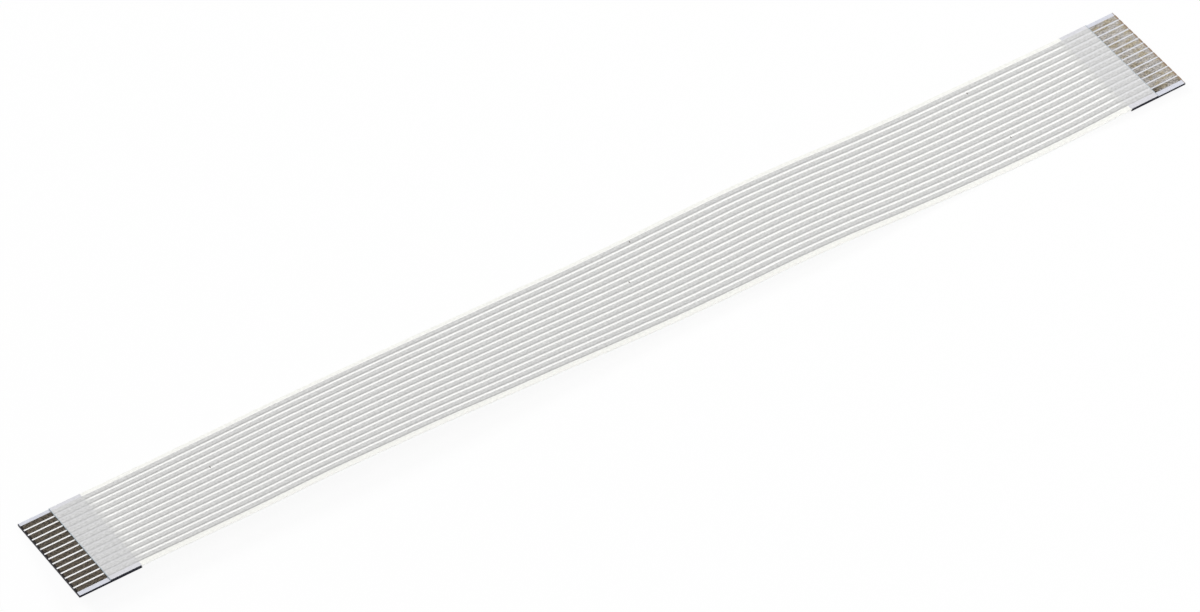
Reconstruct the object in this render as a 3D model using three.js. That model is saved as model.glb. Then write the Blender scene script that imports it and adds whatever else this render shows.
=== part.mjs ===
// Flat flex cable: flat tinned-copper conductors laid side by side between two bonded
// films of white polyester. At each end the upper film is cut back, so that the conductors
// lie bare as contact fingers, and a blue polyester stiffener backs them from below.
// The cable lies loose on a flat surface, with the gentle waves and the slight twist that
// it keeps from being packed. +X runs along it, +Z is up, and the origin is on the surface,
// under the middle of the cable.

import * as THREE from "three";

// Driving dimensions, in millimetres.
const CABLE_LENGTH = 152;
const CONDUCTOR_COUNT = 14;
const PITCH = 1; // from one conductor's middle to the next
const CONDUCTOR_WIDTH = 0.7;
const CONDUCTOR_THICKNESS = 0.1;
const CONDUCTOR_SHIFT = 0.08; // the row of conductors lies this far off the cable's middle
const EDGE_MARGIN = 0.65; // film outside the first and last conductor, on average
const FILM_THICKNESS = 0.06; // one film with its adhesive
const CONTACT_LENGTH = 4; // bare conductor at each end
const STIFFENER_LENGTH = 8;
const STIFFENER_THICKNESS = 0.19;
const GROOVE_DEPTH = 0.03; // how far a film sinks beside a conductor
const GROOVE_RUN_IN = 2; // past the stiffener, over which the grooves reach their depth

// The way it lies, from one stiffener to the other, evenly spaced along the cable: the
// height of the conductors' middle plane, and the turn about +X in degrees.
const WAVE_HEIGHT = 2;
const MIDDLE_HEIGHTS = [
  0.75, 0.775, 0.825, 0.925, 0.925, 0.875, 0.75, 0.65, 0.525,
  0.475, 0.525, 0.6, 0.5, 0.275, 0.125, 0.1, 0.125, 0.25,
].map((share) => share * WAVE_HEIGHT);
const TWISTS = [
  -8.5, -8, -7.5, -7.5, -7, -6.5, -5.5, -4.5, -3.5,
  -2, -1, -1, -1, -0.5, 0, 0.5, 0, -1.5,
];
const LEFT_END_SLOPE = 0.015;
const RIGHT_END_SLOPE = 0.03;

// Worked out from the dimensions above.
const CONDUCTOR_SPAN = (CONDUCTOR_COUNT - 1) * PITCH;
const CABLE_WIDTH = CONDUCTOR_SPAN + CONDUCTOR_WIDTH + 2 * EDGE_MARGIN;
const HALF_WIDTH = CABLE_WIDTH / 2;
const CREST = CONDUCTOR_THICKNESS / 2 + FILM_THICKNESS; // film face over a conductor
const FREE_LENGTH = CABLE_LENGTH - 2 * STIFFENER_LENGTH;
const SPANS = MIDDLE_HEIGHTS.length - 1;
const SPAN_LENGTH = FREE_LENGTH / SPANS;

const filmMaterial = new THREE.MeshStandardMaterial({
  color: 0xf2f1ea,
  roughness: 0.45,
  metalness: 0,
});
const copperMaterial = new THREE.MeshStandardMaterial({
  color: 0x8f8a82,
  roughness: 0.5,
  metalness: 0.9,
});
const stiffenerMaterial = new THREE.MeshStandardMaterial({
  color: 0x1d2f6f,
  roughness: 0.4,
  metalness: 0,
});

// A smooth cubic through evenly spaced values, read at a distance along the cable. Over the
// stiffeners it goes on as a straight line with the slope given for that end.
function smoothThrough(values, leftSlope, rightSlope, distance) {
  const along = distance - STIFFENER_LENGTH;
  if (along <= 0) return values[0] + along * leftSlope;
  if (along >= FREE_LENGTH) return values[SPANS] + (along - FREE_LENGTH) * rightSlope;
  const slopeAt = (i) => {
    if (i === 0) return leftSlope;
    if (i === SPANS) return rightSlope;
    return (values[i + 1] - values[i - 1]) / (2 * SPAN_LENGTH);
  };
  const i = Math.min(Math.floor(along / SPAN_LENGTH), SPANS - 1);
  const u = along / SPAN_LENGTH - i;
  const blend = u * u * (3 - 2 * u);
  const leave = u * (1 - u) * (1 - u) * SPAN_LENGTH * slopeAt(i);
  const arrive = u * u * (1 - u) * SPAN_LENGTH * slopeAt(i + 1);
  return values[i] * (1 - blend) + values[i + 1] * blend + leave - arrive;
}

function heightAt(distance) {
  return smoothThrough(MIDDLE_HEIGHTS, LEFT_END_SLOPE, RIGHT_END_SLOPE, distance);
}

function twistAt(distance) {
  return THREE.MathUtils.degToRad(smoothThrough(TWISTS, 0, 0, distance));
}

// Distances at which the cable's section is set out: both ends, both cut edges of the
// upper film, both ends of the grooves, and each point of the way it lies.
function sectionDistances() {
  const marks = [0, CONTACT_LENGTH, STIFFENER_LENGTH, STIFFENER_LENGTH + GROOVE_RUN_IN];
  const mirrored = marks.map((mark) => CABLE_LENGTH - mark);
  const points = MIDDLE_HEIGHTS.map((_, i) => STIFFENER_LENGTH + i * SPAN_LENGTH);
  const sorted = [...marks, ...points, ...mirrored].sort((a, b) => a - b);
  return sorted.filter((distance, i) => i === 0 || distance - sorted[i - 1] > 1e-6);
}

// A frame for each section: its middle, the direction across the cable, and the direction
// out of its upper face. Each step advances by its own length along the sloping middle, so
// the cable keeps its length. Over a stiffener the frames are parallel, so the ends are flat.
function makeFrames(distances) {
  const heights = distances.map(heightAt);
  const middles = [new THREE.Vector3(0, 0, heights[0])];
  for (let i = 1; i < distances.length; i++) {
    const step = distances[i] - distances[i - 1];
    const climb = heights[i] - heights[i - 1];
    const x = middles[i - 1].x + Math.sqrt(step * step - climb * climb);
    middles.push(new THREE.Vector3(x, 0, heights[i]));
  }
  return distances.map((distance, i) => {
    const onLeftEnd = distance <= STIFFENER_LENGTH + 1e-6;
    const onRightEnd = distance >= CABLE_LENGTH - STIFFENER_LENGTH - 1e-6;
    const from = onLeftEnd ? 0 : onRightEnd ? distances.length - 2 : i - 1;
    const to = onLeftEnd ? 1 : onRightEnd ? distances.length - 1 : i + 1;
    const along = middles[to].clone().sub(middles[from]).normalize();
    const twist = twistAt(distance);
    const across = new THREE.Vector3(0, Math.cos(twist), Math.sin(twist));
    const up = along.clone().cross(across).normalize();
    return { distance, middle: middles[i], across, up };
  });
}

const frames = makeFrames(sectionDistances());

// Share of the full groove depth at a distance along the cable.
function grooveAt(distance) {
  const toNearerEnd = Math.min(distance, CABLE_LENGTH - distance);
  return THREE.MathUtils.clamp((toNearerEnd - STIFFENER_LENGTH) / GROOVE_RUN_IN, 0, 1);
}

// Middle of a conductor across the cable, counted from the far side, +Y.
function conductorY(index) {
  return CONDUCTOR_SPAN / 2 - index * PITCH + CONDUCTOR_SHIFT;
}

// Points of a film's outer face from +Y to -Y: a crest over each conductor, a groove between
// each two, and the thinner margins. side is +1 for the upper film and -1 for the lower one.
function outerFace(side, grooveShare) {
  const valley = CREST - GROOVE_DEPTH * grooveShare;
  const points = [
    [HALF_WIDTH, side * valley],
    [conductorY(0) + PITCH / 2, side * valley],
  ];
  for (let k = 0; k < CONDUCTOR_COUNT; k++) {
    const y = conductorY(k);
    points.push([y + CONDUCTOR_WIDTH / 2, side * CREST]);
    points.push([y - CONDUCTOR_WIDTH / 2, side * CREST]);
    points.push([y - PITCH / 2, side * valley]);
  }
  points.push([-HALF_WIDTH, side * valley]);
  return points;
}

// Points of a film's inner face from +Y to -Y: it follows the conductors and meets the
// other film on the middle plane.
function innerFace(side) {
  const points = [[HALF_WIDTH, 0]];
  for (let k = 0; k < CONDUCTOR_COUNT; k++) {
    for (const edge of [CONDUCTOR_WIDTH / 2, -CONDUCTOR_WIDTH / 2]) {
      const y = conductorY(k) + edge;
      const wall = [
        [y, 0],
        [y, (side * CONDUCTOR_THICKNESS) / 2],
      ];
      points.push(...(edge > 0 ? wall : wall.reverse()));
    }
  }
  points.push([-HALF_WIDTH, 0]);
  return points;
}

function filmSection(side) {
  return (distance) => {
    const outer = outerFace(side, grooveAt(distance));
    return [...outer, ...innerFace(side).reverse()];
  };
}

function conductorSection(index) {
  const y = conductorY(index);
  const w = CONDUCTOR_WIDTH / 2;
  const t = CONDUCTOR_THICKNESS / 2;
  return () => [
    [y + w, t],
    [y - w, t],
    [y - w, 0],
    [y - w, -t],
    [y + w, -t],
    [y + w, 0],
  ];
}

function stiffenerSection() {
  const top = -CREST;
  const bottom = top - STIFFENER_THICKNESS;
  return [
    [HALF_WIDTH, top],
    [-HALF_WIDTH, top],
    [-HALF_WIDTH, bottom],
    [HALF_WIDTH, bottom],
  ];
}

// Closed solid of a section carried through the frames from one distance to another.
// Each wall facet is split along the diagonal that starts at the point with the lower
// (y, z), so two pieces that share a wall share its triangles too.
function carry(section, from, to) {
  const used = frames.filter((f) => f.distance > from - 1e-6 && f.distance < to + 1e-6);
  const loops = used.map((frame) => section(frame.distance));
  const count = loops[0].length;
  const outline = loops[0].map(([y, z]) => new THREE.Vector2(y, z));
  const clockwise = THREE.ShapeUtils.isClockWise(outline);
  const vertices = used.flatMap((frame, i) =>
    loops[i].flatMap(([y, z]) =>
      frame.middle.clone().addScaledVector(frame.across, y).addScaledVector(frame.up, z).toArray(),
    ),
  );
  const triangles = [];
  const add = (a, b, c) => triangles.push(...(clockwise ? [a, c, b] : [a, b, c]));
  for (let i = 0; i < used.length - 1; i++) {
    for (let j = 0; j < count; j++) {
      const next = (j + 1) % count;
      const [a, b] = [i * count + j, i * count + next];
      const [c, d] = [a + count, b + count];
      const [p, q] = [loops[0][j], loops[0][next]];
      const lowFirst = p[0] < q[0] || (p[0] === q[0] && p[1] < q[1]);
      if (lowFirst) {
        add(a, b, d);
        add(a, d, c);
      } else {
        add(a, b, c);
        add(b, d, c);
      }
    }
  }
  const last = (used.length - 1) * count;
  for (const [a, b, c] of THREE.ShapeUtils.triangulateShape(outline, [])) {
    triangles.push(a, c, b);
    triangles.push(last + a, last + b, last + c);
  }
  const geometry = new THREE.BufferGeometry();
  geometry.setAttribute("position", new THREE.Float32BufferAttribute(vertices, 3));
  geometry.setIndex(triangles);
  return geometry;
}

function addPiece(group, name, material, section, from, to) {
  const mesh = new THREE.Mesh(carry(section, from, to), material.clone());
  mesh.name = name;
  group.add(mesh);
}

// Laminate: the two films and the conductors between them.
const cable = new THREE.Group();
const filmEnd = CABLE_LENGTH - CONTACT_LENGTH;
addPiece(cable, "upper_film", filmMaterial, filmSection(1), CONTACT_LENGTH, filmEnd);
addPiece(cable, "lower_film", filmMaterial, filmSection(-1), 0, CABLE_LENGTH);
for (let k = 0; k < CONDUCTOR_COUNT; k++) {
  const name = `conductor_${String(k + 1).padStart(2, "0")}`;
  addPiece(cable, name, copperMaterial, conductorSection(k), 0, CABLE_LENGTH);
}

// Stiffeners, bonded under the lower film at both ends.
const stiffenerStart = CABLE_LENGTH - STIFFENER_LENGTH;
addPiece(cable, "left_stiffener", stiffenerMaterial, stiffenerSection, 0, STIFFENER_LENGTH);
addPiece(cable, "right_stiffener", stiffenerMaterial, stiffenerSection, stiffenerStart, CABLE_LENGTH);

// Origin under the middle of the cable, on the surface that it lies on.
const bounds = new THREE.Box3().setFromObject(cable, true);
const centre = bounds.getCenter(new THREE.Vector3());
cable.position.set(-centre.x, -centre.y, -bounds.min.z);

const part = new THREE.Group();
part.add(cable);

export default part;
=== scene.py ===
# %% [markdown]
# # A flat flex cable
# A flat flex cable joins two circuit boards inside a computer or printer. It is a laminate:
# fourteen flat strips of tinned copper lie side by side between two films of white polyester.
# At both ends the upper film is cut back, so the strips lie bare as contact fingers, and a
# blue polyester stiffener under them makes the end firm enough to push into a connector.
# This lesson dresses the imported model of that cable: it loads the model as a fixed frame,
# makes the films and conductors as fine surfaces on the same route, and gives each piece
# its finish.

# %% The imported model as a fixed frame
import math

import bpy
import numpy as np
from mathutils import Matrix, Vector


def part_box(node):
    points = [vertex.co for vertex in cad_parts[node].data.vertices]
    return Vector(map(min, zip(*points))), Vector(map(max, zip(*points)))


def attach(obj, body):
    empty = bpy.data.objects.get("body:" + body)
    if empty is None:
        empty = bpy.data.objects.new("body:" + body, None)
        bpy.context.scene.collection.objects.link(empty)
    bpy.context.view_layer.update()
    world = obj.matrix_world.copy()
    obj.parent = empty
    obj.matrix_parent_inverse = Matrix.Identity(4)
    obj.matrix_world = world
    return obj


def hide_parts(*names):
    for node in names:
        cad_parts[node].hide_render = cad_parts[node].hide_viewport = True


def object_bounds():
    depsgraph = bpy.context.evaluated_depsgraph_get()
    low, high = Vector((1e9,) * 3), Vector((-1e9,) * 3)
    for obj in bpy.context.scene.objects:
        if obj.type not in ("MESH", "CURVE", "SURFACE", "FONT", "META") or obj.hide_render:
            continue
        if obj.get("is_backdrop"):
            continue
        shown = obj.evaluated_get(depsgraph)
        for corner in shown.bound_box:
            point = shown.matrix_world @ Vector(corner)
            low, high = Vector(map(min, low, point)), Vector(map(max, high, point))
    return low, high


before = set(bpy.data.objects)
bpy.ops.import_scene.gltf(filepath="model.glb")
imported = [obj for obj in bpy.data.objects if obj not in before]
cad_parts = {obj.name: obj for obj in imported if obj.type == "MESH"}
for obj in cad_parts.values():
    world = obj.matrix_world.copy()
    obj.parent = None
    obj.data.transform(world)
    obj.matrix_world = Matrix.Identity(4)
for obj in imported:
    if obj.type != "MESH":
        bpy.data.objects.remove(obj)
cad_low, cad_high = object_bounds()
print("nodes:", len(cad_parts), "size in mm:", [round(1000 * v, 2) for v in cad_high - cad_low])

# %% [markdown]
# ## Sizes
# The sizes are the part's own, in metres. Keeping them as named values in one place lets
# every later cell work its shape out from them, so that the films, the conductors and the
# patterns in the materials stay in step.

# %% Sizes of the cable
MM = 0.001
CABLE_LENGTH = 152 * MM
CONDUCTORS = 14
PITCH = 1 * MM
CONDUCTOR_WIDTH = 0.7 * MM
CONDUCTOR_THICKNESS = 0.1 * MM
CONDUCTOR_SHIFT = 0.08 * MM
EDGE_MARGIN = 0.65 * MM
FILM_THICKNESS = 0.06 * MM
CONTACT_LENGTH = 4 * MM
STIFFENER_LENGTH = 8 * MM
STIFFENER_THICKNESS = 0.19 * MM
GROOVE_DEPTH = 0.03 * MM
GROOVE_RUN_IN = 2 * MM

CONDUCTOR_SPAN = (CONDUCTORS - 1) * PITCH
CABLE_WIDTH = CONDUCTOR_SPAN + CONDUCTOR_WIDTH + 2 * EDGE_MARGIN
HALF_WIDTH = CABLE_WIDTH / 2
CREST = CONDUCTOR_THICKNESS / 2 + FILM_THICKNESS
print("width in mm:", round(CABLE_WIDTH / MM, 2))

# %% [markdown]
# ## Camera
# The photograph looks down on the cable at about 47 degrees, from far away through a long
# lens, so the cable's long edges stay almost parallel. A camera that looks at a named point
# from a named direction is easy to read: the matrix is built from its right, up and backward
# directions, and a small roll turns the first two about the third.

# %% Camera
CAMERA_TARGET = Vector((-2.61, 0.46, 0)) * MM
CAMERA_AZIMUTH = math.radians(-31.51)
CAMERA_ELEVATION = math.radians(46.92)
CAMERA_ROLL = math.radians(-1.01)
CAMERA_DISTANCE = 0.6718
CAMERA_LENS = 172.55


def add_camera():
    """The camera sits at target + distance * back, where back has the given azimuth and elevation."""
    flat = math.cos(CAMERA_ELEVATION)
    back = Vector((
        math.sin(CAMERA_AZIMUTH) * flat,
        -math.cos(CAMERA_AZIMUTH) * flat,
        math.sin(CAMERA_ELEVATION),
    ))
    right = Vector((0, 0, 1)).cross(back).normalized()
    up = back.cross(right)
    rolled_right = right * math.cos(CAMERA_ROLL) + up * math.sin(CAMERA_ROLL)
    rolled_up = up * math.cos(CAMERA_ROLL) - right * math.sin(CAMERA_ROLL)
    camera = bpy.data.objects.new("camera", bpy.data.cameras.new("camera"))
    camera.data.lens = CAMERA_LENS
    camera.data.sensor_width = 36
    camera.data.clip_start = 0.01
    camera.data.clip_end = 20
    turn = Matrix((rolled_right, rolled_up, back)).transposed()
    camera.matrix_world = Matrix.Translation(CAMERA_TARGET + back * CAMERA_DISTANCE) @ turn.to_4x4()
    bpy.context.scene.collection.objects.link(camera)
    bpy.context.scene.camera = camera
    return camera


camera = add_camera()
print("camera at", [round(v, 3) for v in camera.location])

# %% [markdown]
# ## The way it lies
# The cable has lain coiled in a bag, so it keeps gentle waves under a millimetre high and a
# slight twist. The part gives its height and its twist at even steps between the stiffeners.
# A smooth cubic through those points gives both anywhere along the cable, and it goes on
# straight over the stiffeners, which are too stiff to bend. From height and twist follow
# three things at each distance: the middle, the direction across and the direction up.

# %% Route of the cable
MIDDLE_HEIGHTS = np.array([
    1.5, 1.55, 1.65, 1.85, 1.85, 1.75, 1.5, 1.3, 1.05,
    0.95, 1.05, 1.2, 1.0, 0.55, 0.25, 0.2, 0.25, 0.5,
]) * MM
TWISTS = np.radians([
    -8.5, -8, -7.5, -7.5, -7, -6.5, -5.5, -4.5, -3.5,
    -2, -1, -1, -1, -0.5, 0, 0.5, 0, -1.5,
])
LEFT_END_SLOPE = 0.015
RIGHT_END_SLOPE = 0.03
FREE_LENGTH = CABLE_LENGTH - 2 * STIFFENER_LENGTH
SPANS = len(MIDDLE_HEIGHTS) - 1
SPAN_LENGTH = FREE_LENGTH / SPANS
ROUTE_POINTS = 3041  # one every 0.05 mm


def smooth_through(values, left_slope, right_slope, distance):
    """Cubic through evenly spaced values: on each span, value and slope match at both ends,
    and the slope at a point is the rise between its two neighbours over two spans."""
    slopes = np.empty(len(values))
    slopes[1:-1] = (values[2:] - values[:-2]) / (2 * SPAN_LENGTH)
    slopes[0], slopes[-1] = left_slope, right_slope
    along = np.asarray(distance, float) - STIFFENER_LENGTH
    place = np.clip(along / SPAN_LENGTH, 0, SPANS)
    i = np.minimum(place.astype(int), SPANS - 1)
    u = place - i
    blend = u * u * (3 - 2 * u)
    leave = u * (1 - u) ** 2 * SPAN_LENGTH * slopes[i]
    arrive = u * u * (1 - u) * SPAN_LENGTH * slopes[i + 1]
    curve = values[i] * (1 - blend) + values[i + 1] * blend + leave - arrive
    return curve + np.minimum(along, 0) * left_slope + np.maximum(along - FREE_LENGTH, 0) * right_slope


def frames_at(distance):
    """Middle, across and up at distances along the cable. The middle steps forward by
    sqrt(step^2 - climb^2), so the cable keeps its length on the slopes. Across is +Y turned
    by the twist, and up is at right angles to it and to the direction along."""
    distance = np.asarray(distance, float)
    fine = np.linspace(0, CABLE_LENGTH, ROUTE_POINTS)
    heights = smooth_through(MIDDLE_HEIGHTS, LEFT_END_SLOPE, RIGHT_END_SLOPE, fine)
    forward = np.sqrt(np.diff(fine) ** 2 - np.diff(heights) ** 2)
    x = np.concatenate([[0], np.cumsum(forward)])
    slope = np.interp(distance, fine, np.gradient(heights, fine))
    twist = smooth_through(TWISTS, 0, 0, distance)
    zero = np.zeros_like(distance)
    middle = np.stack([np.interp(distance, fine, x), zero, np.interp(distance, fine, heights)], -1)
    along = np.stack([np.sqrt(1 - slope**2), zero, slope], -1)
    across = np.stack([zero, np.cos(twist), np.sin(twist)], -1)
    up = np.cross(along, across)
    up /= np.linalg.norm(up, axis=-1, keepdims=True)
    return middle, across, up


def place(distance, y, z):
    """Point of the cable at a distance along it, y across from its middle and z above its
    middle plane: middle + y * across + z * up. The three arrays have the same shape."""
    middle, across, up = frames_at(distance)
    return middle + across * np.asarray(y)[..., None] + up * np.asarray(z)[..., None]


print("spans:", SPANS, "each of mm:", round(SPAN_LENGTH / MM, 2))

# %% [markdown]
# The part's origin is under the middle of its box. The left stiffener is a plain slab, so
# the lowest corner of its eight corners on this route, set against the same corner of the
# packed slab, gives the shift from the route's own start to the part's origin.

# %% Shift from the route's start to the part's origin
slab_distance, slab_y, slab_z = (
    grid.ravel()
    for grid in np.meshgrid(
        [0, STIFFENER_LENGTH],
        [-HALF_WIDTH, HALF_WIDTH],
        [-CREST - STIFFENER_THICKNESS, -CREST],
    )
)
slab = place(slab_distance, slab_y, slab_z)
SHIFT = np.array(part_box("left_stiffener")[0]) - slab.min(0)
far_slab = place(CABLE_LENGTH - slab_distance, slab_y, slab_z) + SHIFT
miss = np.abs(far_slab.min(0) - np.array(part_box("right_stiffener")[0])).max()
print("shift in mm:", np.round(SHIFT / MM, 3), "miss at the right end in mm:", round(miss / MM, 4))

# %% [markdown]
# ## One maker for every layer
# Films and conductors are all the same kind of thing: an outline in the plane across the
# cable, carried along its route. One function places a whole grid of outline points at once
# and closes it with a face at each end. It also writes the distance along and across into
# the UV map, in millimetres, so that each material knows where on the cable it is.

# %% Carry an outline along the cable
SHARP_ANGLE = math.radians(35)


def carry(name, distances, outlines):
    """Closed mesh of outlines[i, j] = (y, z) at distances[i]: the points are
    place(distance, y, z), and quads join each outline to the next."""
    rows, count = outlines.shape[:2]
    distance = np.repeat(distances, count).reshape(rows, count)
    points = place(distance, outlines[..., 0], outlines[..., 1]).reshape(-1, 3) + SHIFT
    i, j = np.meshgrid(np.arange(rows - 1), np.arange(count), indexing="ij")
    following = (j + 1) % count
    quads = np.stack([i, i, i + 1, i + 1], -1) * count + np.stack([j, following, following, j], -1)
    first = np.arange(count)[::-1]
    last = (rows - 1) * count + np.arange(count)
    mesh = bpy.data.meshes.new(name)
    mesh.from_pydata(points.tolist(), [], quads.reshape(-1, 4).tolist() + [first.tolist(), last.tolist()])
    flat = np.stack([distance.ravel(), outlines[..., 0].ravel()], -1) / MM
    corner = np.empty(len(mesh.loops), np.int32)
    mesh.loops.foreach_get("vertex_index", corner)
    mesh.uv_layers.new(name="cable").data.foreach_set("uv", flat[corner].astype(np.float32).ravel())
    mesh.polygons.foreach_set("use_smooth", np.ones(len(mesh.polygons), bool))
    mesh.set_sharp_from_angle(angle=SHARP_ANGLE)
    piece = bpy.data.objects.new(name, mesh)
    bpy.context.scene.collection.objects.link(piece)
    print(name, len(mesh.polygons), "faces, volume in mm3:", round(volume_of(piece) / MM**3, 2))
    return piece


def volume_of(piece):
    """Signed volume: the sum over triangles of a . (b x c) / 6, positive if faces point out."""
    mesh = piece.data
    mesh.calc_loop_triangles()
    index = np.empty(3 * len(mesh.loop_triangles), np.int32)
    mesh.loop_triangles.foreach_get("vertices", index)
    points = np.empty(3 * len(mesh.vertices))
    mesh.vertices.foreach_get("co", points)
    a, b, c = points.reshape(-1, 3)[index.reshape(-1, 3)].transpose(1, 0, 2)
    return float(np.einsum("ij,ij->i", a, np.cross(b, c)).sum() / 6)


# %% [markdown]
# ## The films
# Hot rollers press the films round the conductors, so each film has a soft ridge over every
# conductor and a shallow groove between two. Over the stiffeners the press is flat and the
# grooves fade out. The ridge is worked out as a function of the distance to the nearest
# conductor: one over its width, zero in the groove, with a smooth shoulder between. The
# inner face is square, because it fits round the conductors and is hidden. Where the upper
# film is cut back, the lower one lies flat, and the conductors stand proud of it.

# %% Ridge of the films
SHOULDER = 0.16 * MM
BARE_SINK = 0.6  # share of half the conductor's thickness by which the bare film lies lower
STEPS_ACROSS = 200
CUT_STEP = 0.05 * MM  # between the two outlines on either side of a cut edge
conductor_y = CONDUCTOR_SPAN / 2 - np.arange(CONDUCTORS) * PITCH + CONDUCTOR_SHIFT


def smoothstep(value):
    """3 t^2 - 2 t^3 on t clipped to 0..1."""
    t = np.clip(value, 0, 1)
    return t * t * (3 - 2 * t)


def ridge_height(y, groove):
    """Height of a film's outer face over the middle plane: the crest over a conductor, less
    groove * depth beside it, with a smooth shoulder centred on the conductor's edge."""
    to_edge = np.abs(y[:, None] - conductor_y).min(1) - CONDUCTOR_WIDTH / 2
    sunk = smoothstep(to_edge / SHOULDER + 0.5)
    return CREST - GROOVE_DEPTH * groove[:, None] * sunk


def film_outlines(side, distances):
    """Outline of a film at each distance: outer face from +Y to -Y, then the inner face back,
    square round the conductors. side is +1 for the upper film and -1 for the lower one."""
    from_end = np.minimum(distances, CABLE_LENGTH - distances)
    groove = smoothstep((from_end - STIFFENER_LENGTH) / GROOVE_RUN_IN)
    y = np.linspace(HALF_WIDTH, -HALF_WIDTH, STEPS_ACROSS)
    outer = np.stack(np.broadcast_arrays(y, side * ridge_height(y, groove)), -1)
    half, deep = CONDUCTOR_WIDTH / 2, side * CONDUCTOR_THICKNESS / 2
    notch_y = conductor_y[:, None] + np.array([half, half, -half, -half])
    inner_y = np.concatenate([[HALF_WIDTH], notch_y.ravel(), [-HALF_WIDTH]])[::-1]
    is_notch = np.concatenate([[0], np.tile([0, 1, 1, 0], CONDUCTORS), [0]])[::-1]
    bare = (from_end < CONTACT_LENGTH - CUT_STEP / 2)[:, None]
    lowered = np.maximum(is_notch, BARE_SINK)
    lowered[[0, -1]] = 0
    inner_z = deep * np.where(bare, lowered, is_notch)
    inner = np.stack(np.broadcast_arrays(inner_y, inner_z), -1)
    outlines = np.concatenate([outer, inner], 1)
    return outlines if side > 0 else outlines[:, ::-1]


print("conductors at mm:", np.round(conductor_y / MM, 2))

# %% [markdown]
# Both films are carried along the route in steps short enough that its waves show no
# corners. The upper one starts and ends where the contacts begin. The lower one runs the
# whole length, and two steps close together at each cut edge give its flat bare part a
# crisp border.

# %% Upper and lower film
STEP_ALONG = 0.8 * MM


def steps_between(start, end):
    """Even steps of about STEP_ALONG from start to end."""
    return np.linspace(start, end, round((end - start) / STEP_ALONG) + 1)


upper_steps = steps_between(CONTACT_LENGTH, CABLE_LENGTH - CONTACT_LENGTH)
bare_steps = steps_between(0, CONTACT_LENGTH - CUT_STEP)
lower_steps = np.concatenate([bare_steps, upper_steps, CABLE_LENGTH - bare_steps[::-1]])
upper_film = carry("upper_film_sheet", upper_steps, film_outlines(1, upper_steps))
lower_film = carry("lower_film_sheet", lower_steps, film_outlines(-1, lower_steps))
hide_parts("upper_film")
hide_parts("lower_film")

# %% [markdown]
# ## The conductors
# A conductor is rolled flat from round wire, so its long edges are rounded. Its outline is a
# flattened ring: the cosine and sine of an angle, each raised to a small power, which gives
# a rectangle with soft corners. All fourteen come from one loop. Each one carries an
# attribute that darkens its tin: the left ends are darker than the right ones, partly tarnish
# and partly a painted dark reflection; the right ones get a painted shade beside the film's
# cut edge; and the nearest right end is darker than its neighbours.

# %% Outline of a conductor
CORNER_POWER = 0.3
RING_STEPS = 28


def conductor_outline(y):
    """Soft-cornered rectangle round (y, 0): half width * sign(cos a) * |cos a|^p across, and
    the same with the sine and the half thickness in height."""
    angle = (np.arange(RING_STEPS) + 0.5) / RING_STEPS * 2 * math.pi
    cosine, sine = np.cos(angle), np.sin(angle)
    side = np.sign(cosine) * np.abs(cosine) ** CORNER_POWER
    rise = np.sign(sine) * np.abs(sine) ** CORNER_POWER
    return np.stack([y + side * CONDUCTOR_WIDTH / 2, rise * CONDUCTOR_THICKNESS / 2], -1)


print("points round a conductor:", len(conductor_outline(0)))

# %% [markdown]
# One loop carries the same outline along the cable fourteen times, each time at its own
# distance from the middle. The tarnish, with the painted dark reflection and painted shade,
# is worked out for each point along the way, because a value on the points blends smoothly
# from one end of a strip to the other.

# %% Fourteen conductors
# the left ends are darker: partly tarnish, partly a painted dark reflection of the tilted end
LEFT_TARNISH_AND_PAINTED_REFLECTION = 0.9
RIGHT_TARNISH = np.full(CONDUCTORS, 0.12)
RIGHT_TARNISH[8:12] = 0.2
RIGHT_TARNISH[-1] = 0.43
# painted shade beside the film's cut edge on the right contacts, and the run over which it fades
PAINTED_SHADE_AT_FILM = np.full(CONDUCTORS, 0.2)
PAINTED_SHADE_AT_FILM[-1] = 0.4
PAINTED_SHADE_RUN = np.full(CONDUCTORS, CONTACT_LENGTH)  # over which that darkness fades
PAINTED_SHADE_RUN[-1] = 1.4 * MM
point_distance = np.repeat(lower_steps, RING_STEPS)
past_film = point_distance - (CABLE_LENGTH - CONTACT_LENGTH)
share = point_distance / CABLE_LENGTH
only_right = smoothstep(share * 4 - 3)
conductors = []
for index, y in enumerate(conductor_y):
    outline = np.broadcast_to(conductor_outline(y), (len(lower_steps), RING_STEPS, 2))
    piece = carry(f"flat_conductor_{index + 1:02d}", lower_steps, outline)
    tarnish_and_painted_shade = LEFT_TARNISH_AND_PAINTED_REFLECTION + (RIGHT_TARNISH[index] - LEFT_TARNISH_AND_PAINTED_REFLECTION) * smoothstep(share)
    # painted shade: the right contacts darken towards the film's cut edge
    painted_film_shade = 1 - smoothstep(past_film / PAINTED_SHADE_RUN[index])
    tarnish_and_painted_shade += PAINTED_SHADE_AT_FILM[index] * only_right * painted_film_shade
    attribute = piece.data.attributes.new("tarnish_and_painted_shade", "FLOAT", "POINT")
    attribute.data.foreach_set("value", tarnish_and_painted_shade.astype(np.float32))
    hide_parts(f"conductor_{index + 1:02d}")
    conductors.append(piece)
print("conductors:", len(conductors))

# %% [markdown]
# ## Small helpers for materials
# A material here is a tree of nodes. A few helpers keep the later cells short: they add a
# node and fill its sockets, do arithmetic, turn a value into a soft step and mix colours.
# Colours are written as they look on a screen, from 0 to 255, and turned into the linear
# values that the renderer works with.

# %% Node helpers
def screen(red, green, blue):
    """Linear colour of a screen colour: (c / 255) ^ 2.2 for each channel, nearly."""
    share = np.array([red, green, blue]) / 255
    linear = np.where(share <= 0.04045, share / 12.92, ((share + 0.055) / 1.055) ** 2.4)
    return (*linear.tolist(), 1)


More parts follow.
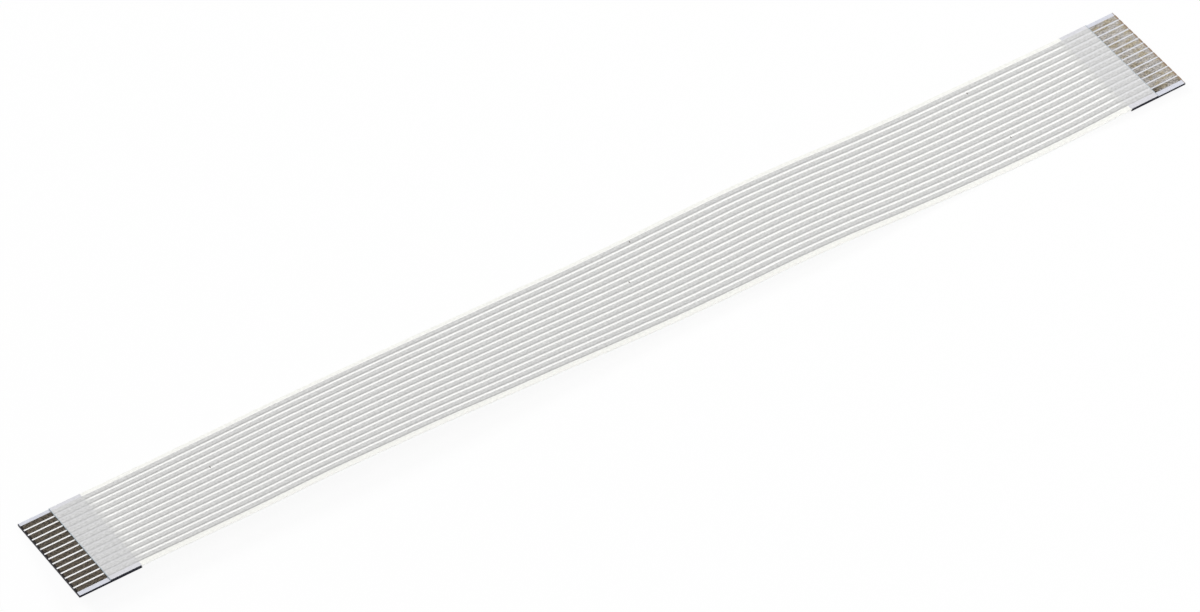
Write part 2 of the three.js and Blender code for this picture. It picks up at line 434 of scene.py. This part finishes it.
def fill(tree, socket, value):
    """Links value to the socket if it is a socket, and sets it as the default otherwise."""
    if isinstance(value, bpy.types.NodeSocket):
        tree.links.new(value, socket)
    else:
        socket.default_value = value


def add(tree, kind, inputs=None, **settings):
    """Adds a node of a kind with its settings, and fills the inputs by name or number."""
    node = tree.nodes.new(kind)
    for key, value in settings.items():
        setattr(node, key, value)
    for key, value in (inputs or {}).items():
        fill(tree, node.inputs[key], value)
    return node


def reckon(tree, operation, *values):
    """Output of a Math node on the values."""
    node = add(tree, "ShaderNodeMath", dict(enumerate(values)), operation=operation)
    return node.outputs[0]


def soft_step(tree, value, start, end):
    """0 where value is at start, 1 where it is at end, smooth between and clamped outside."""
    inputs = {"Value": value, "From Min": start, "From Max": end}
    node = add(tree, "ShaderNodeMapRange", inputs, interpolation_type="SMOOTHSTEP")
    return node.outputs["Result"]


def mix(tree, share, first, second):
    """Colour between first and second."""
    node = add(tree, "ShaderNodeMix", data_type="RGBA")
    fill(tree, node.inputs[0], share)
    fill(tree, node.inputs[6], first)
    fill(tree, node.inputs[7], second)
    return node.outputs[2]


def new_material(name):
    """Material with an empty tree, its Principled shader and its output."""
    material = bpy.data.materials.new(name)
    material.use_nodes = True
    tree = material.node_tree
    tree.nodes.clear()
    shader = add(tree, "ShaderNodeBsdfPrincipled")
    add(tree, "ShaderNodeOutputMaterial", {"Surface": shader.outputs[0]})
    return material, tree, shader


print("white of the screen:", screen(255, 255, 255))

# %% [markdown]
# ## Effects that several materials share
# Two effects turn up in more than one finish, so each is a node group with named sockets.
# The first reads the UV map and says where a point is: millimetres along, across and from
# the nearer end. The second is streaked grain: noise stretched along the cable, as rolled
# copper and drawn film both have.

# %% Group: where on the cable
def make_group(name, inputs, outputs):
    """Node group with float sockets of those names, and its own input and output nodes."""
    group = bpy.data.node_groups.new(name, "ShaderNodeTree")
    for socket, default in inputs.items():
        made = group.interface.new_socket(socket, in_out="INPUT", socket_type="NodeSocketFloat")
        made.default_value = default
    for socket in outputs:
        group.interface.new_socket(socket, in_out="OUTPUT", socket_type="NodeSocketFloat")
    return group, add(group, "NodeGroupInput"), add(group, "NodeGroupOutput")


where_group, _, where_out = make_group("where_on_cable", {}, ["Along", "Across", "From End"])
uv = add(where_group, "ShaderNodeUVMap", uv_map="cable")
split = add(where_group, "ShaderNodeSeparateXYZ", {0: uv.outputs["UV"]})
to_right = reckon(where_group, "SUBTRACT", CABLE_LENGTH / MM, split.outputs["X"])
nearer = reckon(where_group, "MINIMUM", split.outputs["X"], to_right)
fill(where_group, where_out.inputs["Along"], split.outputs["X"])
fill(where_group, where_out.inputs["Across"], split.outputs["Y"])
fill(where_group, where_out.inputs["From End"], nearer)
print("group:", where_group.name)

# %% [markdown]
# The grain has its fineness as sockets, in patches per millimetre along and across. The
# distances are multiplied by them before they reach the noise, so the same group gives long
# streaks to one material and small round patches to another.

# %% Group: streaked grain
streak_inputs = {"Along": 0, "Across": 0, "Per mm Along": 0.5, "Per mm Across": 8, "Detail": 3}
streak_group, streak_in, streak_out = make_group("streaked_grain", streak_inputs, ["Grain"])
stretched = add(streak_group, "ShaderNodeCombineXYZ", {
    "X": reckon(streak_group, "MULTIPLY", streak_in.outputs["Along"], streak_in.outputs["Per mm Along"]),
    "Y": reckon(streak_group, "MULTIPLY", streak_in.outputs["Across"], streak_in.outputs["Per mm Across"]),
})
noise = add(streak_group, "ShaderNodeTexNoise", {
    "Vector": stretched.outputs[0],
    "Scale": 1,
    "Detail": streak_in.outputs["Detail"],
})
fill(streak_group, streak_out.inputs["Grain"], noise.outputs[0])


def where_nodes(tree):
    """Along, Across and From End of a material's own tree."""
    node = add(tree, "ShaderNodeGroup", node_tree=where_group)
    return node.outputs["Along"], node.outputs["Across"], node.outputs["From End"]


def grain(tree, along, across, per_mm_along, per_mm_across, detail=3):
    """Streaked grain of that fineness, from 0 to 1."""
    node = add(tree, "ShaderNodeGroup", node_tree=streak_group)
    values = [along, across, per_mm_along, per_mm_across, detail]
    for socket, value in zip(node.inputs, values):
        fill(tree, socket, value)
    return node.outputs["Grain"]


print("groups:", [group.name for group in bpy.data.node_groups])

# %% [markdown]
# ## Finish of the films
# White polyester is milky, not opaque. Over a conductor it looks light grey, between two
# conductors it is nearly the white of the table, and over a stiffener the blue shows through
# as a cool grey. The colour is worked out from the place on the cable: a mask for conductors
# repeats with the pitch, and a second mask tells the stiffener's stretch from the rest.

# %% Colours of the films
STIFFENER_MM = STIFFENER_LENGTH / MM
CONTACT_MM = CONTACT_LENGTH / MM
MIDDLE_MM = (60, 90)  # where the looks of the left end pass into those of the right one
FILM_COLOURS = {
    "over conductor": screen(208, 208, 207),
    "between": screen(255, 255, 253),
    "between at stiffener": screen(228, 228, 226),
    "margin": screen(247, 247, 242),
    "conductor on stiffener": screen(207, 207, 207),
    "between on left stiffener": screen(212, 212, 213),
    "between on right stiffener": screen(224, 224, 225),
    "margin on stiffener": screen(217, 217, 222),
    "bare margin": screen(214, 216, 226),
    "left contact gap": screen(254, 254, 254),
    "right contact gap": screen(222, 223, 228),
    "left cut": screen(60, 62, 74),
    "right cut": screen(150, 134, 122),
    "cut edge": screen(176, 187, 194),
    "cut side": screen(255, 255, 252),
    # painted shade: the film's cut sides over a stiffener, near black
    "painted shade on cut side at stiffener": screen(12, 14, 30),
    "dust": screen(96, 90, 84),
}
print("film colours:", len(FILM_COLOURS))

# %% [markdown]
# The masks across the cable repeat with the pitch, so they come from the fraction of the
# distance across, counted in pitches from the middle of a conductor. Arithmetic gives
# crisper borders than a painted picture would, and it needs no file.

# %% Masks across the cable
OVER_BLUR = 0.05
# where the painted shade along each conductor's near edge rises and falls, in pitches from its middle
PAINTED_SHADE_BORDERS = [(-0.1, -0.26), (-0.45, -0.33)]
RIDGE_BORDER = (0.5, 0.2)
ROW_BLUR = 0.1


def conductor_masks(tree, across):
    """Masks over a conductor, of the painted shade along its near edge, of the film's ridge, and
    inside the row of conductors. With the shift taken off, the distance to the nearest conductor is
    |fract(y) - 1/2| pitches inside the row and |y| less half the row's span outside it, so
    it is the greater of the two."""
    centred = reckon(tree, "DIVIDE", reckon(tree, "SUBTRACT", across, CONDUCTOR_SHIFT / MM), PITCH / MM)
    phase = reckon(tree, "SUBTRACT", reckon(tree, "FRACT", centred), 0.5)
    past_last = reckon(tree, "SUBTRACT", reckon(tree, "ABSOLUTE", centred), (CONDUCTORS - 1) / 2)
    off = reckon(tree, "MAXIMUM", reckon(tree, "ABSOLUTE", phase), past_last)
    half = CONDUCTOR_WIDTH / PITCH / 2
    over = soft_step(tree, off, half + OVER_BLUR, half - OVER_BLUR)
    near_edge_painted_shade = reckon(tree, "MULTIPLY", *[soft_step(tree, phase, *border) for border in PAINTED_SHADE_BORDERS])
    ridge = soft_step(tree, off, *RIDGE_BORDER)
    in_row = soft_step(tree, past_last, half + ROW_BLUR, half)
    return over, reckon(tree, "MULTIPLY", near_edge_painted_shade, in_row), ridge, in_row


print("half a conductor in pitches:", round(CONDUCTOR_WIDTH / PITCH / 2, 2))

# %% [markdown]
# ## Dust
# Five specks of dust lie on the upper film in the photograph. Modelled grains would be too
# small to see as shapes, so each is a dark ellipse in the film's colour, at its place on the
# cable in millimetres along and across.

# %% Dust on the film
DUST_SPECKS = [(22.1, 2.2), (77.8, 1.0), (81.4, 6.6), (129.2, 5.8), (129.4, -3.1)]
SPECK_SIZE = (0.09, 0.2)
SPECK_CORE = 0.3  # share of the squared radius that is fully dark


def dust_mask(tree, along, across):
    """1 inside a speck, where ((along - a) / size)^2 + ((across - b) / size)^2 is small, and 0
    where it is over one."""
    total = 0.0
    for speck_along, speck_across in DUST_SPECKS:
        a = reckon(tree, "DIVIDE", reckon(tree, "SUBTRACT", along, speck_along), SPECK_SIZE[0])
        b = reckon(tree, "DIVIDE", reckon(tree, "SUBTRACT", across, speck_across), SPECK_SIZE[1])
        squares = reckon(tree, "ADD", reckon(tree, "POWER", a, 2), reckon(tree, "POWER", b, 2))
        total = reckon(tree, "ADD", total, soft_step(tree, squares, 1, SPECK_CORE))
    return total


print("specks:", len(DUST_SPECKS))

# %% [markdown]
# ## The film's colour by place
# From the end inwards come the bare lower film between the contacts, the upper film's cut
# edge, the stretch over the stiffener and the free film. Each is mixed over the last with a
# soft step on the distance from the end, in millimetres. The cut sides are white on the free
# film, and over a stiffener they get a near-black painted shade.

# %% Colour by place
BORDER_BLUR = 0.06
GROOVE_WHITENS = 1.2
CUT_EDGE = (0.04, 0.14)
CONTACT_BLUR = 0.02
BACKED_BLUR = 0.1
SIDE_BORDER = (0.75, 0.65)  # of the normal's upright part
# painted shade along each conductor's near edge: how much it darkens, and its share over a stiffener
PAINTED_SHADE_DEPTH = 0.24
PAINTED_SHADE_SHARE_BACKED = 0.65


def darken(tree, colour, factor, share):
    """Colour times a grey factor, in that share."""
    grey = add(tree, "ShaderNodeCombineXYZ", {0: factor, 1: factor, 2: factor}).outputs[0]
    node = add(tree, "ShaderNodeMix", data_type="RGBA", blend_type="MULTIPLY")
    fill(tree, node.inputs[0], share)
    fill(tree, node.inputs[6], colour)
    fill(tree, node.inputs[7], grey)
    return node.outputs[2]


def at_least(tree, mask, floor):
    """floor where the mask is 0, and 1 where it is 1."""
    return reckon(tree, "MULTIPLY_ADD", mask, 1 - floor, floor)


def film_colour(tree, along, from_end, masks):
    """Colour by place: contact zone, cut edge, stiffener's stretch, free film, and a painted shade along
    each conductor's near edge.
    """
    over, near_edge_painted_shade, _, in_row = masks
    on_right = soft_step(tree, along, *MIDDLE_MM)
    groove_light = soft_step(tree, from_end, STIFFENER_MM, STIFFENER_MM + GROOVE_WHITENS)
    groove = mix(tree, groove_light, FILM_COLOURS["between at stiffener"], FILM_COLOURS["between"])
    gap = mix(tree, in_row, FILM_COLOURS["margin"], groove)
    free = mix(tree, over, gap, FILM_COLOURS["over conductor"])
    between = [FILM_COLOURS[f"between on {end} stiffener"] for end in ("left", "right")]
    gap = mix(tree, in_row, FILM_COLOURS["margin on stiffener"], mix(tree, on_right, *between))
    backed = mix(tree, over, gap, FILM_COLOURS["conductor on stiffener"])
    past_stiffener = soft_step(tree, from_end, STIFFENER_MM - BORDER_BLUR, STIFFENER_MM + BORDER_BLUR)
    colour = mix(tree, past_stiffener, backed, free)
    # painted shade: the near edge of each conductor, where the film's relief faces away from the lamp
    # behind, is darkened
    shade = reckon(tree, "MULTIPLY_ADD", near_edge_painted_shade, -PAINTED_SHADE_DEPTH, 1.0)
    colour = darken(tree, colour, shade, at_least(tree, past_stiffener, PAINTED_SHADE_SHARE_BACKED))
    past_edge = soft_step(tree, from_end, *[CONTACT_MM + border for border in CUT_EDGE])
    colour = mix(tree, past_edge, FILM_COLOURS["cut edge"], colour)
    gap = mix(tree, on_right, FILM_COLOURS["left contact gap"], FILM_COLOURS["right contact gap"])
    bare = mix(tree, in_row, FILM_COLOURS["bare margin"], gap)
    past_contacts = soft_step(tree, from_end, CONTACT_MM - CONTACT_BLUR, CONTACT_MM)
    return mix(tree, past_contacts, bare, colour)


def with_cut_sides(tree, colour, from_end):
    """The sheared sides are white along the free film, and get a near-black painted shade where a
    stiffener backs them.
    """
    normal = add(tree, "ShaderNodeNewGeometry").outputs["True Normal"]
    upright = add(tree, "ShaderNodeSeparateXYZ", {0: normal}).outputs["Z"]
    is_side = soft_step(tree, reckon(tree, "ABSOLUTE", upright), *SIDE_BORDER)
    backed = soft_step(tree, from_end, STIFFENER_MM, STIFFENER_MM - BACKED_BLUR)
    side = mix(tree, backed, FILM_COLOURS["cut side"], FILM_COLOURS["painted shade on cut side at stiffener"])
    return mix(tree, is_side, colour, side)


print("borders in mm from the end:", round(CONTACT_MM, 2), round(STIFFENER_MM, 2))

# %% [markdown]
# ## The film's material
# The colours come together from the broad to the fine: first by place on the cable, then
# grain, dust and the cut edges. The same grain and ridge also feed a gentle bump, because
# soft shading between ridge and groove is what makes the photographed film look pressed and
# not printed.

# %% Material of the films
CUT_END = (0.12, 0.06)  # in millimetres from the end
STREAKS_PER_MM = (0.35, 9)
STREAK_STRENGTH = 0.2
MOTTLE_PER_MM = (2.6, 4.2)
MOTTLE_STRENGTH = 0.7
GRAIN_OFF_CONDUCTORS = 0.5
RIDGE_RELIEF = 0.06 * MM
RIDGE_SHARE_BACKED = 0.25
FINE_RELIEF = 0.15
FILM_ROUGHNESS = 0.4
FILM_SHEEN = 0.35


def around_one(tree, value, strength):
    """1 + strength * (value - 1/2)."""
    return reckon(tree, "MULTIPLY_ADD", value, strength, 1 - strength / 2)


def film_material(name, dusty):
    """Milky white polyester over conductors and stiffeners."""
    material, tree, shader = new_material(name)
    along, across, from_end = where_nodes(tree)
    masks = conductor_masks(tree, across)
    over, _, ridge, _ = masks
    colour = film_colour(tree, along, from_end, masks)
    streaks = grain(tree, along, across, *STREAKS_PER_MM)
    mottle = grain(tree, along, across, *MOTTLE_PER_MM)
    uneven = around_one(tree, streaks, STREAK_STRENGTH)
    uneven = reckon(tree, "MULTIPLY", uneven, around_one(tree, mottle, MOTTLE_STRENGTH))
    colour = darken(tree, colour, uneven, at_least(tree, over, GRAIN_OFF_CONDUCTORS))
    if dusty:
        colour = mix(tree, dust_mask(tree, along, across), colour, FILM_COLOURS["dust"])
    on_right = soft_step(tree, along, *MIDDLE_MM)
    cut_end = mix(tree, on_right, FILM_COLOURS["left cut"], FILM_COLOURS["right cut"])
    colour = mix(tree, soft_step(tree, from_end, *CUT_END), colour, cut_end)
    colour = with_cut_sides(tree, colour, from_end)
    run_in = soft_step(tree, from_end, STIFFENER_MM, STIFFENER_MM + GROOVE_RUN_IN / MM)
    ridge = reckon(tree, "MULTIPLY", ridge, at_least(tree, run_in, RIDGE_SHARE_BACKED))
    fine = reckon(tree, "MULTIPLY", reckon(tree, "ADD", streaks, mottle), FINE_RELIEF)
    relief = add(tree, "ShaderNodeBump", {
        "Height": reckon(tree, "ADD", ridge, fine),
        "Strength": 1,
        "Distance": RIDGE_RELIEF,
    })
    fill(tree, shader.inputs["Base Color"], colour)
    fill(tree, shader.inputs["Roughness"], reckon(tree, "MULTIPLY_ADD", mottle, 0.12, FILM_ROUGHNESS))
    fill(tree, shader.inputs["Normal"], relief.outputs[0])
    shader.inputs["Specular IOR Level"].default_value = FILM_SHEEN
    return material


upper_film.data.materials.append(film_material("white_polyester_upper", True))
lower_film.data.materials.append(film_material("white_polyester_lower", False))
print("film materials:", upper_film.data.materials[0].name, lower_film.data.materials[0].name)

# %% [markdown]
# ## Finish of the conductors
# Tin dulls as it ages: it turns from pale grey to a warm dark grey, with golden patches
# between. The attribute moves the colour from one to the other; it carries the tarnish, the
# painted dark reflection of the left ends and the painted shade beside the film. The streaked
# grain breaks it up, and the last few tenths of a millimetre of each tip are darker: near
# black at the left end and brown at the right.

# %% Material of the conductors
TIN_COLOURS = {
    "pale": screen(168, 164, 159),
    "golden": screen(158, 149, 130),
    "tarnished_and_painted_shade": screen(70, 63, 54),
    "tip": screen(28, 24, 24),
    "copper": screen(142, 122, 104),
}
TIP_LENGTH = 0.3  # in millimetres
TIN_STREAKS = (1.2, 12, 4)  # per mm along, per mm across, detail
TIN_PATCHES = (0.8, 0.9, 2)
TIN_SPECKS = (3.5, 5, 2)
GOLDEN_BORDER = (0.46, 0.6)
RAGGED = 0.5
TARNISH_AND_SHADE_BORDER = (0.05, 0.95)
SPECK_BORDER = (0.3, 0.7)
TIN_ROUGHNESS = 0.35


def tin_material():
    """Tarnished tin on rolled copper, with a painted dark reflection and painted shade in the same colour.
    """
    material, tree, shader = new_material("tinned_copper")
    along, across, from_end = where_nodes(tree)
    tarnish_and_painted_shade = add(tree, "ShaderNodeAttribute", attribute_name="tarnish_and_painted_shade").outputs["Fac"]
    streaks = grain(tree, along, across, *TIN_STREAKS)
    patches = grain(tree, along, across, *TIN_PATCHES)
    specks = grain(tree, along, across, *TIN_SPECKS)
    golden = soft_step(tree, patches, *GOLDEN_BORDER)
    pale = mix(tree, golden, TIN_COLOURS["pale"], TIN_COLOURS["golden"])
    ragged = reckon(tree, "ADD", tarnish_and_painted_shade, reckon(tree, "MULTIPLY_ADD", streaks, RAGGED, -RAGGED / 2))
    colour = mix(tree, soft_step(tree, ragged, *TARNISH_AND_SHADE_BORDER), pale, TIN_COLOURS["tarnished_and_painted_shade"])
    about_none = reckon(tree, "SUBTRACT", soft_step(tree, specks, *SPECK_BORDER), 0.5)
    strength = reckon(tree, "MULTIPLY_ADD", tarnish_and_painted_shade, 0.9, 0.5)
    uneven = reckon(tree, "MULTIPLY_ADD", about_none, strength, 1.0)
    colour = darken(tree, colour, uneven, 1.0)
    at_tip = soft_step(tree, from_end, TIP_LENGTH, TIP_LENGTH / 2)
    # the last 0.3 mm of each tip: near black at the left end, brown at the right
    tip = mix(tree, soft_step(tree, along, *MIDDLE_MM), TIN_COLOURS["tip"], TIN_COLOURS["copper"])
    colour = mix(tree, at_tip, colour, tip)
    relief = add(tree, "ShaderNodeBump", {"Height": streaks, "Strength": 0.35, "Distance": 0.02 * MM})
    fill(tree, shader.inputs["Base Color"], colour)
    fill(tree, shader.inputs["Roughness"], reckon(tree, "MULTIPLY_ADD", streaks, 0.25, TIN_ROUGHNESS))
    fill(tree, shader.inputs["Normal"], relief.outputs[0])
    shader.inputs["Metallic"].default_value = 0.85
    return material


tin = tin_material()
for piece in conductors:
    piece.data.materials.append(tin)
print(tin.name, "with", len(tin.node_tree.nodes), "nodes")

# %% [markdown]
# ## Finish of the stiffeners
# The stiffeners keep their packed slabs, because a slab is what they are. Their broad back
# is a satin blue with fine scuffs. The sheared sides get a near-black painted shade. The mask
# for the sides is how far the normal leans from the up direction.

# %% Material of the stiffeners
STIFFENER_COLOURS = {
    "face": screen(34, 66, 158),
    "worn": screen(120, 140, 190),
    # painted shade on the sheared sides
    "side": screen(7, 9, 24),
}
SCUFFS_PER_METRE = (300, 4000, 300)
WORN_BORDER = (0.55, 0.85)
WORN_STRENGTH = 0.35
STIFFENER_SHEEN = 0.12  # low, so that the cut sides stay dark


def stiffener_material():
    """Blue polyester, with a near-black painted shade on the sheared sides."""
    material, tree, shader = new_material("blue_polyester")
    normal = add(tree, "ShaderNodeNewGeometry").outputs["Normal"]
    upright = add(tree, "ShaderNodeSeparateXYZ", {0: normal}).outputs["Z"]
    is_side = soft_step(tree, reckon(tree, "ABSOLUTE", upright), 0.8, 0.6)
    coordinates = add(tree, "ShaderNodeTexCoord").outputs["Object"]
    scaled_inputs = {0: coordinates, 1: SCUFFS_PER_METRE}
    scaled = add(tree, "ShaderNodeVectorMath", scaled_inputs, operation="MULTIPLY")
    noise_inputs = {"Vector": scaled.outputs[0], "Scale": 1, "Detail": 4}
    scuffs = add(tree, "ShaderNodeTexNoise", noise_inputs).outputs[0]
    worn = reckon(tree, "MULTIPLY", soft_step(tree, scuffs, *WORN_BORDER), WORN_STRENGTH)
    face = mix(tree, worn, STIFFENER_COLOURS["face"], STIFFENER_COLOURS["worn"])
    # where the normal leans, the blue face gives way to the near-black painted shade of the sides
    fill(tree, shader.inputs["Base Color"], mix(tree, is_side, face, STIFFENER_COLOURS["side"]))
    fill(tree, shader.inputs["Roughness"], reckon(tree, "MULTIPLY_ADD", scuffs, 0.3, 0.25))
    relief = add(tree, "ShaderNodeBump", {"Height": scuffs, "Strength": 0.2, "Distance": 0.01 * MM})
    fill(tree, shader.inputs["Normal"], relief.outputs[0])
    shader.inputs["Specular IOR Level"].default_value = STIFFENER_SHEEN
    return material


blue = stiffener_material()
stiffeners = [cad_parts["left_stiffener"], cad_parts["right_stiffener"]]
for piece in stiffeners:
    piece.data.materials.clear()
    piece.data.materials.append(blue)
print(blue.name, "on", [piece.name for piece in stiffeners])

# %% [markdown]
# ## Everything on one body, and the cable's route
# Nothing in the cable turns or slides, so every piece rides on the one body. The cable is a
# free flat cord: its real length is what the photograph shows from end to end, and both ends
# are bare contacts. The lower film runs its whole length. The route runs through the middle
# of the cable at both ends and at the borders of the spans.

# %% Body and route of the cable
new_pieces = {"film": [upper_film, lower_film], "conductor": conductors}
for slot_name, pieces in new_pieces.items():
    for piece in pieces:
        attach(piece, "root")

route_distances = np.concatenate([
    [0],
    STIFFENER_LENGTH + np.arange(SPANS + 1) * SPAN_LENGTH,
    [CABLE_LENGTH],
])
route = frames_at(route_distances)[0] + SHIFT
print("route points:", len(route))

# %% [markdown]
# ## Table, light and background
# The photograph is a cut-out on plain white with soft light from above and behind. The table
# is a white plane. For the camera it glows to a clean white, and a share of its own shading
# stays, so the cable's faint shadow stays too.

# %% Table
TABLE_SIZE = 6.0
TABLE_DROP = 0.02 * MM
TABLE_GLOW = 0.93


def add_table():
    """A square plane just under the cable, on which only a share of its shading shows."""
    half = TABLE_SIZE / 2
    corners = np.array([[-half, -half], [half, -half], [half, half], [-half, half]])
    mesh = bpy.data.meshes.new("table")
    mesh.from_pydata([(x, y, -TABLE_DROP) for x, y in corners.tolist()], [], [(0, 1, 2, 3)])
    table = bpy.data.objects.new("table", mesh)
    bpy.context.scene.collection.objects.link(table)
    material, tree, shader = new_material("table_white")
    shader.inputs["Base Color"].default_value = screen(250, 250, 250)
    shader.inputs["Roughness"].default_value = 0.9
    shader.inputs["Specular IOR Level"].default_value = 0
    glow = add(tree, "ShaderNodeEmission", {"Strength": 1.0})
    seen = add(tree, "ShaderNodeLightPath").outputs["Is Camera Ray"]
    share = reckon(tree, "MULTIPLY", seen, TABLE_GLOW)
    blend = add(tree, "ShaderNodeMixShader", {0: share, 1: shader.outputs[0], 2: glow.outputs[0]})
    output = next(node for node in tree.nodes if node.type == "OUTPUT_MATERIAL")
    tree.links.new(blend.outputs[0], output.inputs["Surface"])
    mesh.materials.append(material)
    table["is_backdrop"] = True
    return table


table = add_table()
print(table.name, "in mm under the cable:", round(TABLE_DROP / MM, 3))

# %% [markdown]
# The world gives even light from all sides, as a tent of white cloth would. It looks fully
# white to the camera and in reflections, and lights the cable with a smaller share, so that
# the lamps can shape the ridges without burning out the pale film.

# %% World
WORLD_LIGHT = 0.3
KEY_LIGHT = 0.43
FILL_LIGHT = 0.29
EDGE_LIGHT = 0.024


def set_world():
    """Even white light, at full white where the camera, a reflection or glass sees it."""
    world = bpy.data.worlds.new("studio")
    bpy.context.scene.world = world
    world.use_nodes = True
    tree = world.node_tree
    tree.nodes.clear()
    path = add(tree, "ShaderNodeLightPath")
    seen = reckon(tree, "MAXIMUM", path.outputs["Is Camera Ray"], path.outputs["Is Glossy Ray"])
    seen = reckon(tree, "MAXIMUM", seen, path.outputs["Is Transmission Ray"])
    strength = reckon(tree, "MULTIPLY_ADD", seen, 1 - WORLD_LIGHT, WORLD_LIGHT)
    background = add(tree, "ShaderNodeBackground", {"Strength": strength})
    background.inputs["Color"].default_value = (1, 1, 1, 1)
    add(tree, "ShaderNodeOutputWorld", {"Surface": background.outputs[0]})


set_world()
print("world light:", WORLD_LIGHT, "lamps:", KEY_LIGHT, FILL_LIGHT, EDGE_LIGHT)

# %% [markdown]
# A large soft lamp behind the cable picks out the ridges of the film. A nearer one over the
# right end makes that end a little lighter, as in the photograph. A weak one stands low in
# front, so that the near cut edge of the film stays as pale as it is there.

# %% Lamps
def add_lamp(name, location, size, share):
    """Square lamp aimed at the cable's middle. The share is how much of its own colour a
    white surface lying flat there would show by this lamp alone: power = share * pi^2 *
    distance^2 / (height / distance)."""
    to_middle = -Vector(location)
    distance = to_middle.length
    data = bpy.data.lights.new(name, "AREA")
    data.shape = "SQUARE"
    data.size = size
    data.energy = share * math.pi**2 * distance**3 / location[2]
    lamp = bpy.data.objects.new(name, data)
    lamp.location = location
    lamp.rotation_euler = to_middle.to_track_quat("-Z", "Y").to_euler()
    bpy.context.scene.collection.objects.link(lamp)
    print(name, "power in W:", round(data.energy, 2))
    return lamp


add_lamp("key_lamp", (-0.6, 1.0, 1.2), 0.8, KEY_LIGHT)
add_lamp("fill_lamp", (0.35, -0.1, 0.5), 0.3, FILL_LIGHT)
add_lamp("edge_lamp", (-0.1, -1.2, 0.12), 0.2, EDGE_LIGHT)
bpy.context.scene.view_settings.view_transform = "Standard"

# %% [markdown]
# The dressed cable has to fill the same box as the imported model, so the script prints
# how far it stands out of the imported box.

low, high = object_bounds()
growth = max(max(cad_low - low), max(high - cad_high)) / MM
print("the dressed cable stands proud of the packed one by", round(growth, 3), "mm")
